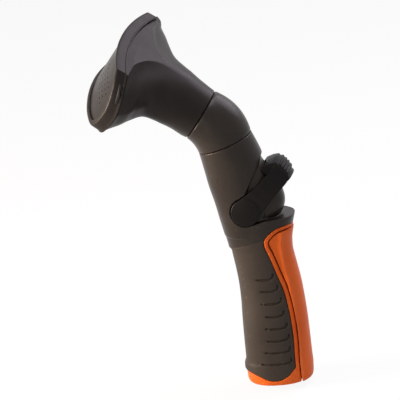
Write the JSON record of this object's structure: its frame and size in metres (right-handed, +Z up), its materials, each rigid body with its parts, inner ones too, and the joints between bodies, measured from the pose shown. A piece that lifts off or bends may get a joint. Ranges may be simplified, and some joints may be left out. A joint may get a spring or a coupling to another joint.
{
  "type": "hose spray nozzle",
  "caption": "Upright hose spray nozzle with a rubber grip, a thumb lever on the valve, a short elbow and a wide fan spray head that swivels.",
  "frame": {"origin": "centre of the end face of the hose inlet in the handle's base", "axes": "+Z up along the handle, away from the hose; -X the spray side; +X the thumb side; Y across the handle"},
  "size_m": [0.1303, 0.1011, 0.2531],
  "materials": {
    "black_plastic": "satin moulded plastic with a fine grain",
    "grip_rubber": "matt soft rubber",
    "orange_plastic": "satin moulded plastic",
    "seal_rubber": "smooth seal rubber",
    "white_plastic": "smooth acetal"
  },
  "bodies": {
    "handle": {"handle_frame": "orange_plastic", "grip_sleeve": "grip_rubber", "back_spine": "orange_plastic", "hose_socket": "black_plastic", "hose_washer": "seal_rubber", "filter_screen": "white_plastic", "valve_body": "black_plastic", "body_o_ring": "seal_rubber", "spool_bush_left": "white_plastic", "spool_bush_right": "white_plastic", "outlet_seat": "seal_rubber", "inlet_seat": "seal_rubber", "elbow": "black_plastic", "elbow_o_ring": "seal_rubber", "head_o_ring": "seal_rubber", "swivel_ring": "white_plastic"},
    "lever": {"thumb_lever": "black_plastic", "valve_spool": "white_plastic", "spool_o_ring_left": "seal_rubber", "spool_o_ring_right": "seal_rubber"},
    "fan_head": {"head_shell": "black_plastic", "bezel": "black_plastic", "spray_plate": "black_plastic", "plate_gasket": "seal_rubber"}
  },
  "joints": [
    {"name": "lever_pivot", "type": "hinge", "parent": "handle", "child": "lever", "pos_m": [-0.0098, 0, 0.1224], "axis": [0, 1, 0], "range_deg": [0, 35]},
    {"name": "head_swivel", "type": "hinge", "parent": "handle", "child": "fan_head", "pos_m": [-0.03369, 0, 0.18633], "axis": [-0.7944, 0, 0.6074], "continuous": true}
  ]
}
